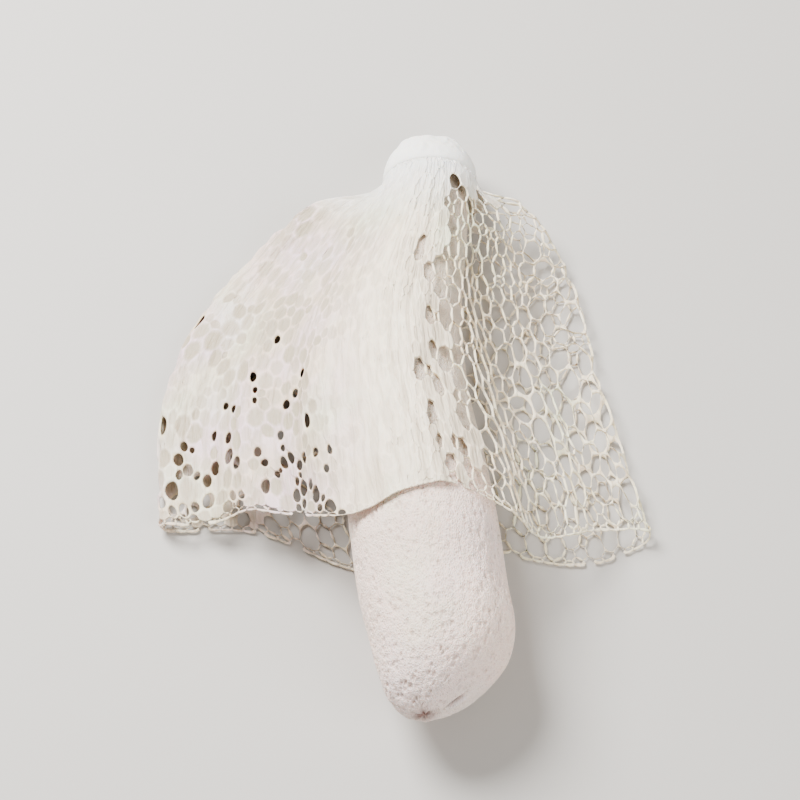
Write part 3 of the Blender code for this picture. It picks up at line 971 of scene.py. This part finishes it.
def ridge_heights(net, spots, holes):
    """Height of the strands over the lace's middle at each corner: low at closed cells and along the hem."""
    opened = np.zeros(len(spots))
    shared = np.zeros(len(spots))
    for cell, hole in zip(net.cells, holes):
        opened[cell] += hole
        shared[cell] += 1
    opened /= np.maximum(shared, 1)
    closed = between(CLOSED_RIDGE, smoothstep(CLOSED_RIDGE_SPAN, net.share))
    uneven = 1 + RIDGE_UNEVEN * noise_at(spots / RIDGE_PATCH, 30.0)
    ridge = RIDGE * between((closed, 1), opened) * uneven
    return ridge * between((1, HEM_RIDGE), smoothstep(HEM_RIDGE_SPAN, net.share))


class Lace:
    """The lace's points, faces and kept shares. First come the strands' tops, and then their bottoms."""

    def __init__(self, net, spots, outward, ridge):
        self.spots = spots
        self.outward = outward
        self.count = len(spots)
        self.points = [*(spots + outward * ridge[:, None]), *(spots - outward * ridge[:, None])]
        self.streaks = [*net.streaks(), *net.streaks()]
        self.shares = {"thin": [0.0] * len(self.points), "dent": [0.0] * len(self.points)}
        self.faces = []

    def add(self, point, here, thin, dent):
        """One more point beside a corner. thin is 1 at a hole's edge, and dent is the depth of a skin."""
        self.points.append(point)
        self.streaks.append(self.streaks[here])
        self.shares["thin"].append(thin)
        self.shares["dent"].append(dent)
        return len(self.points) - 1

    def add_loop(self, loop, points, thin, dent):
        """One more point beside each corner of a loop."""
        return [self.add(point, here, thin, dent) for here, point in zip(loop, points)]

    def strip(self, outer, inner):
        """Quads between two loops that run the same way."""
        for place, here in enumerate(outer):
            following = (place + 1) % len(outer)
            self.faces.append((here, outer[following], inner[following], inner[place]))

    def strands(self, loop, inner):
        """Both faces of the strands along a loop, which meet in one edge."""
        self.strip(loop, inner)
        self.strip([self.count + here for here in reversed(loop)], inner[::-1])

    def skin(self, loop, edges, height, deep):
        """A thin skin that closes a cell: near the strands' tops, or by the lace's middle where deep is 1."""
        normal = self.outward[loop].mean(axis=0)
        middle = self.spots[loop].mean(axis=0)
        bowl = [edge * (1 - BOWL) + middle * BOWL for edge in edges]
        rise = height + deep * (1 - BOWL_RISE) * (SKIN - SKIN_DEPTH - height)
        sink = max(SKIN + deep * SKIN_DEPTH, -rise + SKIN)
        upper = self.add_loop(loop, [point + normal * rise for point in bowl], 0.0, deep)
        lower = self.add_loop(loop, [point - normal * sink for point in bowl], 0.0, deep)[::-1]
        self.strip(loop, upper)
        self.strip([self.count + here for here in reversed(loop)], lower)
        self.faces.append(tuple(upper))
        self.faces.append(tuple(lower))

    def kept_shares(self):
        """The values kept for each point, with its place among the streaks."""
        for label, values in zip(("streak_x", "streak_y", "streak_z"), np.array(self.streaks).T):
            self.shares[label] = values
        return self.shares


def lace_mesh(settings, net, spots, outward, holes, depths, draw):
    """Strands along the net's sides, with a ridge on both faces, and a thin edge or a skin in each cell."""
    half = settings.strand / 2
    ridge = ridge_heights(net, spots, holes)
    lace = Lace(net, spots, outward, ridge)
    torn = {cell for cell in sorted(net.hem) if draw.random() < TORN}
    for index, (cell, hole, deep) in enumerate(zip(net.cells, holes, depths)):
        if index in torn:
            continue
        middle = spots[cell].mean(axis=0)
        patch = noise.noise(Vector(middle) / STRAND_PATCH + Vector((9, 0, 0)))
        width = half * (1 + STRAND_UNEVEN * patch)
        if index in net.hem:
            width *= HEM_STRAND
        edges = []
        for here, move in zip(cell, side_moves(spots, outward, cell)):
            inward = middle - spots[here]
            part = width * (move @ inward) / (inward @ inward)
            edges.append(spots[here] + (move * width if part < MOST_INWARD else inward * MOST_INWARD))
        if hole > 0:
            inner = [edge * hole + middle * (1 - hole) for edge in edges]
            lace.strands(cell, lace.add_loop(cell, inner, 1.0, 0.0))
        else:
            lace.skin(cell, edges, float(ridge[cell].mean()), deep)

    for loop in boundary_loops([cell for index, cell in enumerate(net.cells) if index not in torn]):
        at_hem = net.share[loop].mean() > 0.5
        edges = []
        for here, move in zip(loop, side_moves(spots, outward, loop)):
            spike = SPIKE_LENGTH if at_hem and draw.random() < SPIKES else 1.0
            cord = half * EDGE_CORD * (1 - STEM_CORD * float(over_stem(net.around[here])))
            edges.append(lace.add(spots[here] + move * cord * spike, here, 1.0, 0.0))
        lace.strands(loop, edges)
    return lace.points, lace.faces, lace.kept_shares()


SPECULAR = 0.35


class Shader:
    """A material of nodes, made step by step from its surface."""

    def __init__(self, name, roughness, scatter, scatter_radius):
        self.material = bpy.data.materials.new(name)
        self.material.use_nodes = True
        self.nodes = self.material.node_tree.nodes
        self.links = self.material.node_tree.links
        self.surface = self.nodes["Principled BSDF"]
        self.surface.inputs["Roughness"].default_value = roughness
        self.surface.inputs["Subsurface Weight"].default_value = scatter
        self.surface.inputs["Subsurface Radius"].default_value = scatter_radius
        self.surface.inputs["Subsurface Scale"].default_value = 1.0
        self.surface.inputs["Specular IOR Level"].default_value = SPECULAR
        self.place = self.nodes.new("ShaderNodeTexCoord").outputs["Object"]

    def share(self, label):
        """The value kept for each point of the mesh under a label."""
        node = self.nodes.new("ShaderNodeAttribute")
        node.attribute_name = label
        return node.outputs["Fac"]

    def give(self, socket, given):
        """Feeds a socket from another node or with a constant."""
        if isinstance(given, bpy.types.NodeSocket):
            self.links.new(given, socket)
        else:
            socket.default_value = given

    def scaled(self, size, stretch):
        """Places on the object in steps of a real size in metres, drawn out lengthwise."""
        mapping = self.nodes.new("ShaderNodeMapping")
        mapping.inputs["Scale"].default_value = (1 / size, 1 / (size * stretch), 1 / size)
        self.links.new(self.place, mapping.inputs["Vector"])
        return mapping.outputs["Vector"]

    def noise_over(self, place, scale, detail):
        """Noise over the given places."""
        node = self.nodes.new("ShaderNodeTexNoise")
        node.inputs["Scale"].default_value = scale
        node.inputs["Detail"].default_value = detail
        self.links.new(place, node.inputs["Vector"])
        return node.outputs["Fac"]

    def noise(self, size, detail, stretch=1.0):
        """Noise of a real size in metres, drawn out lengthwise."""
        return self.noise_over(self.scaled(size, stretch), 1.0, detail)

    def streaks(self, size, detail):
        """Noise that is drawn out down the veil, from the places kept for each of its points."""
        place = self.nodes.new("ShaderNodeCombineXYZ")
        for label, socket in zip(("streak_x", "streak_y", "streak_z"), place.inputs):
            self.links.new(self.share(label), socket)
        return self.noise_over(place.outputs["Vector"], 1 / size, detail)

    def cells(self, size, stretch=1.0):
        """Distance from the walls of scattered cells of a real size in metres."""
        node = self.nodes.new("ShaderNodeTexVoronoi")
        node.feature = "DISTANCE_TO_EDGE"
        node.inputs["Scale"].default_value = 1.0
        self.links.new(self.scaled(size, stretch), node.inputs["Vector"])
        return node.outputs["Distance"]

    def ramp(self, value, low, high, top=1.0):
        """The value from 0 at low to top at high."""
        node = self.nodes.new("ShaderNodeMapRange")
        node.inputs["From Min"].default_value = low
        node.inputs["From Max"].default_value = high
        node.inputs["To Max"].default_value = top
        self.links.new(value, node.inputs["Value"])
        return node.outputs["Result"]

    def mix(self, colour, other, share):
        """Colours mixed by a share. A colour may be a constant or another mix."""
        node = self.nodes.new("ShaderNodeMix")
        node.data_type = "RGBA"
        for socket, given in (("A", colour), ("B", other)):
            self.give(next(i for i in node.inputs if i.name == socket and i.type == "RGBA"), given)
        self.links.new(share, node.inputs["Factor"])
        return next(o for o in node.outputs if o.type == "RGBA")

    def layers(self, colour, *laid):
        """Colours laid one over another, each by its share."""
        for other, share in laid:
            colour = self.mix(colour, other, share)
        return colour

    def times(self, value, other):
        """The product of a value and another value or a constant."""
        node = self.nodes.new("ShaderNodeMath")
        node.operation = "MULTIPLY"
        for socket, given in zip(node.inputs, (value, other)):
            self.give(socket, given)
        return node.outputs["Value"]

    def colour(self, mixed):
        """Gives the surface its colour."""
        self.links.new(mixed, self.surface.inputs["Base Color"])

    def bump(self, heights):
        """Bumps from (height, distance in metres) pairs, one on the other."""
        last = None
        for height, distance in heights:
            node = self.nodes.new("ShaderNodeBump")
            node.inputs["Strength"].default_value = 1.0
            node.inputs["Distance"].default_value = distance
            self.links.new(height, node.inputs["Height"])
            if last is not None:
                self.links.new(last, node.inputs["Normal"])
            last = node.outputs["Normal"]
        self.links.new(last, self.surface.inputs["Normal"])


SPONGE_GREEN = (0.80, 0.80, 0.58, 1.0)
LIP_PINK = (0.88, 0.78, 0.76, 1.0)
# Painted shadow of the veil on the stem
VEIL_SHADOW_BEIGE = (0.60, 0.54, 0.43, 1.0)
CAP_SHADE = (0.85, 0.82, 0.74, 1.0)
LACE_PINK = (0.80, 0.60, 0.68, 1.0)
LACE_GREEN = (0.74, 0.83, 0.58, 1.0)
NECK_WHITE = (0.98, 0.93, 0.86, 1.0)


def stem_material(settings):
    """Matt white sponge: painted shade in its pits and where the veil lies over it, a pink blush and a brown
    purple scar.
    """
    shader = Shader("sponge", 0.85, 0.25, (0.9 * MM, 0.6 * MM, 0.45 * MM))
    fine = shader.cells(0.55 * MM, 1.6)
    colour = shader.layers(
        settings.flesh,
        (settings.blush, shader.ramp(shader.noise(14 * MM, 3, 1.6), 0.45, 0.7, 0.55)),
        (SPONGE_GREEN, shader.ramp(shader.noise(20 * MM, 2, 1.4), 0.52, 0.72, 0.5)),
        (settings.blush, shader.ramp(shader.share("base"), 0.1, 1.0, 0.6)),
        # Painted shade in the pits: by their depth, and in the fine cells that the bump sinks
        (settings.pit_shade, shader.ramp(shader.share("pit"), 0.2, 1.0, 0.7)),
        (settings.pit_shade, shader.ramp(fine, 0.12, 0.45, 0.6)),
        (LIP_PINK, shader.ramp(shader.share("lip"), 0.2, 0.9, 0.8)),
        (settings.scar, shader.ramp(shader.share("scar"), 0.15, 0.8)),
        # Painted shadow where the veil lies over the stem
        (VEIL_SHADOW_BEIGE, shader.ramp(shader.share("covered"), 0.0, 1.0, 0.7)),
    )
    shader.colour(colour)
    shader.bump([(shader.noise(0.5 * MM, 3, 1.5), 0.25 * MM), (fine, -0.4 * MM)])
    return shader.material


def cap_material(settings):
    """Washed, matt and nearly white, with painted shade in its hollows and its pore."""
    shader = Shader("washed_cap", 0.7, 0.35, (1.6 * MM, 1.2 * MM, 0.9 * MM))
    colour = shader.layers(
        settings.skin,
        (CAP_SHADE, shader.ramp(shader.noise(9 * MM, 3), 0.45, 0.75, 0.6)),
        # Painted shade in the hollows and the pore
        (settings.hollow_shade, shader.ramp(shader.share("hollow"), 0.2, 1.0, 0.3)),
        (settings.hollow_shade, shader.ramp(shader.share("pore"), 0.2, 1.0, 0.8)),
    )
    shader.colour(colour)
    shader.bump([(shader.noise(0.6 * MM, 4), 0.1 * MM)])
    return shader.material


def veil_material(settings):
    """Moist lace: pinker and darker on the left, whiter at the neck, cream where the strands thin out, and
    painted shade along the streaks and in the closed cells by how deep they lie.
    """
    shader = Shader("lace", 0.5, 0.3, (0.8 * MM, 0.6 * MM, 0.45 * MM))
    left = shader.ramp(shader.share("streak_y"), -4.0, -20.0)
    pink = shader.ramp(shader.noise(17 * MM, 2), 0.4, 0.6, 0.8)
    streaks = shader.streaks(1.0, 3)
    colour = shader.layers(
        settings.lace,
        (settings.left, shader.times(left, 0.85)),
        (LACE_PINK, shader.times(left, pink)),
        (LACE_GREEN, shader.ramp(shader.noise(23 * MM, 2, 1.5), 0.5, 0.7, 0.6)),
        # Painted shade along the streaks, more of it on the left, and in the closed cells by how deep their
        # skins lie
        (settings.dents, shader.times(left, shader.ramp(streaks, 0.45, 0.6, 0.4))),
        (settings.dents, shader.ramp(streaks, 0.44, 0.66, 0.4)),
        (settings.dents, shader.ramp(shader.share("dent"), 0.1, 0.9)),
    )
    colour = shader.mix(NECK_WHITE, colour, shader.ramp(shader.share("streak_z"), 0.3, 1.8))
    cream = shader.times(shader.share("thin"), shader.ramp(shader.noise(6 * MM, 3), 0.35, 0.7))
    shader.colour(shader.mix(colour, settings.edges, cream))
    shader.bump([(shader.noise(0.7 * MM, 3, 1.5), 0.08 * MM), (shader.streaks(0.8, 3), 0.7 * MM)])
    return shader.material


class FUNGUS_OT_stem(Operator):
    """Build the sponge stem with its rounded base, scar and crease"""

    bl_idname = "fungus.stem"
    bl_label = "Stem"

    def execute(self, context):
        """Builds the stem."""
        settings = context.scene.fungus_stem
        new_piece("sponge_stem", "stem", stem_mesh(settings), stem_material(settings))
        return {"FINISHED"}


class FUNGUS_OT_cap(Operator):
    """Build the washed cap with its low net and its pore"""

    bl_idname = "fungus.cap"
    bl_label = "Cap"

    def execute(self, context):
        """Builds the cap."""
        settings = context.scene.fungus_cap
        new_piece("washed_cap", "cap", cap_mesh(settings), cap_material(settings))
        return {"FINISHED"}


class FUNGUS_OT_veil(Operator):
    """Build the lace veil that is draped over the stem"""

    bl_idname = "fungus.veil"
    bl_label = "Veil"

    def execute(self, context):
        """Builds the veil, which a modifier rounds off."""
        settings = context.scene.fungus_veil
        veil = new_piece("lace_veil", "veil", veil_mesh(settings), veil_material(settings))
        rounding = veil.modifiers.new("rounding", "SUBSURF")
        rounding.levels = 1
        rounding.render_levels = 1
        return {"FINISHED"}


# The lights, with their places from the fungus's middle in metres, and the sky and the floor
KEY_PLACE = (-0.36, 0.34, 0.60)
KEY_SIZE = 0.45
FILL_PLACE = (0.5, -0.45, 0.5)
FILL_SIZE = 0.6
SKY_COLOUR = (1.0, 0.99, 0.97, 1.0)
FLOOR_REACH = 2.0
FLOOR_DROP = 0.2 * MM
FLOOR_SHADE = (0.46, 0.435, 0.40, 1.0)
FLOOR_MOTTLE = 50 * MM


def area_light(name, power, size, place, target):
    """A large soft light at a place, turned to a target."""
    data = bpy.data.lights.new(name, "AREA")
    data.shape = "DISK"
    data.size = size
    data.energy = power
    light = bpy.data.objects.new(name, data)
    light.location = place
    light.rotation_euler = (target - light.location).to_track_quat("-Z", "Y").to_euler()
    bpy.context.scene.collection.objects.link(light)


class FUNGUS_OT_stage(Operator):
    """Set up the pale floor, the soft lights and the camera"""

    bl_idname = "fungus.stage"
    bl_label = "Stage"

    def execute(self, context):
        """Builds the floor, the lights, the sky and the camera."""
        settings = context.scene.fungus_stage
        low, high = CAD_BOX
        middle = (low + high) / 2
        self.make_floor(settings)
        area_light("key", settings.key, KEY_SIZE, middle + Vector(KEY_PLACE), middle)
        area_light("fill", settings.fill, FILL_SIZE, middle + Vector(FILL_PLACE), middle)
        world = bpy.data.worlds.new("sky")
        world.use_nodes = True
        sky = world.node_tree.nodes["Background"]
        sky.inputs["Color"].default_value = SKY_COLOUR
        sky.inputs["Strength"].default_value = settings.sky
        context.scene.world = world
        self.make_camera(context, settings, middle)
        return {"FINISHED"}

    def make_floor(self, settings):
        """A large matt floor just under the fungus."""
        corners = [(FLOOR_REACH * x, FLOOR_REACH * y, 0) for x, y in ((-1, -1), (1, -1), (1, 1), (-1, 1))]
        data = bpy.data.meshes.new("floor")
        data.from_pydata(corners, [], [(0, 1, 2, 3)])
        shader = Shader("floor", 0.6, 0.0, (1 * MM, 1 * MM, 1 * MM))
        mottle = shader.ramp(shader.noise(FLOOR_MOTTLE, 4), 0.3, 0.7, 0.15)
        shader.colour(shader.mix(settings.floor, FLOOR_SHADE, mottle))
        data.materials.append(shader.material)
        floor = bpy.data.objects.new("floor", data)
        floor.location.z = -FLOOR_DROP
        bpy.context.scene.collection.objects.link(floor)

    def make_camera(self, context, settings, middle):
        """A camera that looks at the fungus from its base, down a slope."""
        data = bpy.data.cameras.new("camera")
        data.lens = settings.lens
        data.clip_start = 0.01
        camera = bpy.data.objects.new("camera", data)
        back = Vector((0, -math.cos(settings.elevation), math.sin(settings.elevation)))
        camera.location = middle + back * settings.distance
        camera.rotation_euler = (-back).to_track_quat("-Z", "Y").to_euler()
        context.scene.collection.objects.link(camera)
        context.scene.camera = camera


GROUPS = {"stem": StemSettings, "cap": CapSettings, "veil": VeilSettings, "stage": StageSettings}
OPERATORS = (FUNGUS_OT_stem, FUNGUS_OT_cap, FUNGUS_OT_veil, FUNGUS_OT_stage)


class FUNGUS_PT_panel(Panel):
    """Lists the fungus's settings and the steps that build it"""

    bl_idname = "FUNGUS_PT_panel"
    bl_label = "Bamboo fungus"
    bl_space_type = "VIEW_3D"
    bl_region_type = "UI"
    bl_category = "Fungus"

    def draw(self, context):
        """Shows each group of settings with its button."""
        for name in GROUPS:
            settings = getattr(context.scene, "fungus_" + name)
            box = self.layout.box()
            for label in settings.__annotations__:
                box.prop(settings, label)
            box.operator("fungus." + name)


def register():
    """Adds the settings, the operators and the panel."""
    for name, group in GROUPS.items():
        bpy.utils.register_class(group)
        setattr(bpy.types.Scene, "fungus_" + name, PointerProperty(type=group))
    for made in (*OPERATORS, FUNGUS_PT_panel):
        bpy.utils.register_class(made)


def unregister():
    """Takes the panel, the operators and the settings away again."""
    for made in (FUNGUS_PT_panel, *reversed(OPERATORS)):
        bpy.utils.unregister_class(made)
    for name, group in reversed(GROUPS.items()):
        delattr(bpy.types.Scene, "fungus_" + name)
        bpy.utils.unregister_class(group)


def main():
    """Builds the fungus and its stage."""
    register()
    bpy.ops.fungus.stem()
    bpy.ops.fungus.cap()
    bpy.ops.fungus.veil()
    bpy.ops.fungus.stage()
    bpy.context.view_layer.update()


if __name__ == "__main__":
    main()
